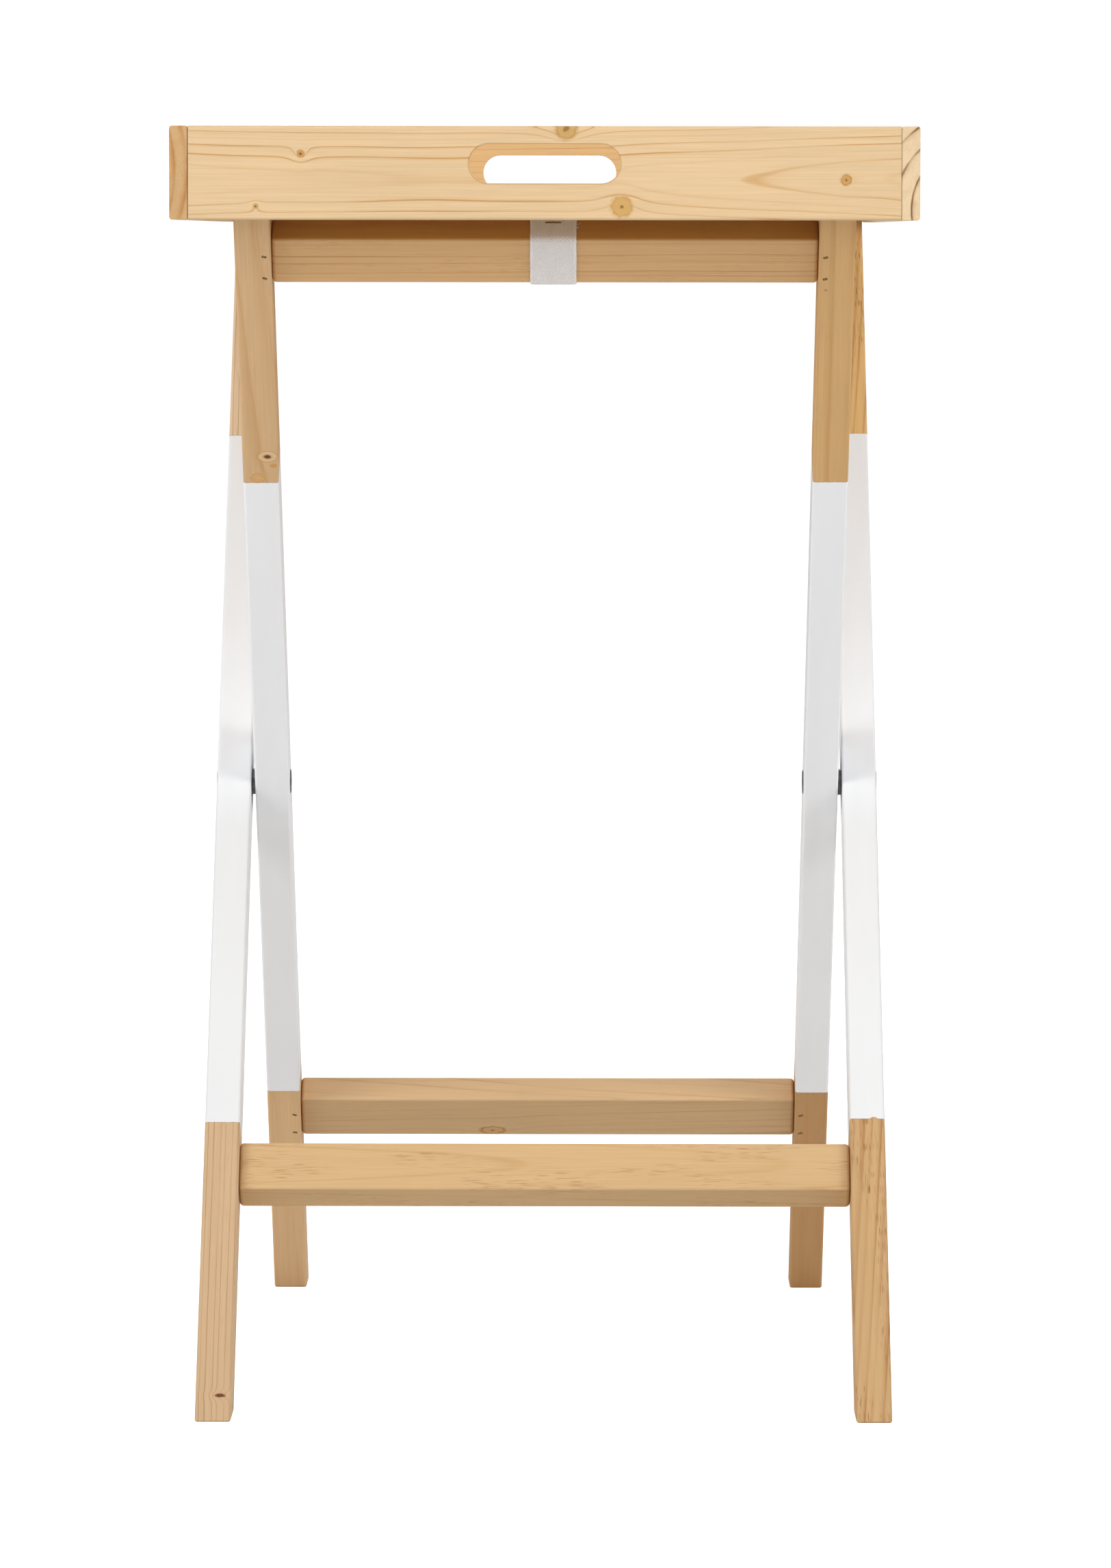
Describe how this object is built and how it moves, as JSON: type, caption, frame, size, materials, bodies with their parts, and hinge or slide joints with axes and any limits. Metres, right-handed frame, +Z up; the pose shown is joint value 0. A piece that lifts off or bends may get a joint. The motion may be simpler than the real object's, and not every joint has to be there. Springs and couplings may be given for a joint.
{
  "type": "folding tray table",
  "caption": "Rectangular wooden tray with slotted handles, resting on a crossed-leg folding stand with half-painted legs and a webbing strap.",
  "frame": {"origin": "on the floor, under the middle of the table", "axes": "+Z up, +X across the table to the right as seen from the front, +Y from the front handle to the rear handle"},
  "size_m": [0.4, 0.6, 0.698],
  "materials": {
    "tray_pine": "bare pale pine, sanded, fine horizontal grain with a few brown knots",
    "tray_panel": "bare pale pine plywood, sanded",
    "rail_pine": "bare pine, sanded, fine straight grain",
    "painted_pine": "bare pine at both ends, with a smooth matt white painted band along the middle",
    "pivot_steel": "dull dark zinc plating",
    "pin_steel": "dull steel wire",
    "webbing": "off-white cotton webbing, herringbone weave"
  },
  "bodies": {
    "outer_frame": {"outer_leg_left": "painted_pine", "outer_leg_right": "painted_pine", "outer_top_rail": "rail_pine", "outer_bottom_rail": "rail_pine", "outer_rail_pins": "pin_steel", "pivot_bolt_left": "pivot_steel", "pivot_bolt_right": "pivot_steel", "sleeve_nut_left": "pivot_steel", "sleeve_nut_right": "pivot_steel", "spacer_washer_left": "pivot_steel", "spacer_washer_right": "pivot_steel", "strap_span": "webbing", "strap_rear_wrap": "webbing", "strap_staple_rear": "pin_steel"},
    "inner_frame": {"inner_leg_left": "painted_pine", "inner_leg_right": "painted_pine", "inner_top_rail": "rail_pine", "inner_bottom_rail": "rail_pine", "inner_rail_pins": "pin_steel", "strap_front_wrap": "webbing", "strap_staple_front": "pin_steel"},
    "tray": {"tray_side_left": "tray_pine", "tray_side_right": "tray_pine", "tray_handle_front": "tray_pine", "tray_handle_rear": "tray_pine", "tray_bottom_panel": "tray_panel", "tray_corner_pins": "pin_steel"}
  },
  "joints": [
    {"name": "stand_fold", "type": "hinge", "parent": "outer_frame", "child": "inner_frame", "pos_m": [0, 0, 0.327], "axis": [-1, 0, 0], "range_deg": [0, 72.5], "deforming": ["strap_span"]},
    {"name": "tray_lift", "type": "slide", "parent": "outer_frame", "child": "tray", "axis": [0, 0, 1], "range_m": [0, 0.39]}
  ],
  "couplings": [
    {"joint": "tray_lift", "follows": "stand_fold", "m_per_rad": 0.3}
  ]
}
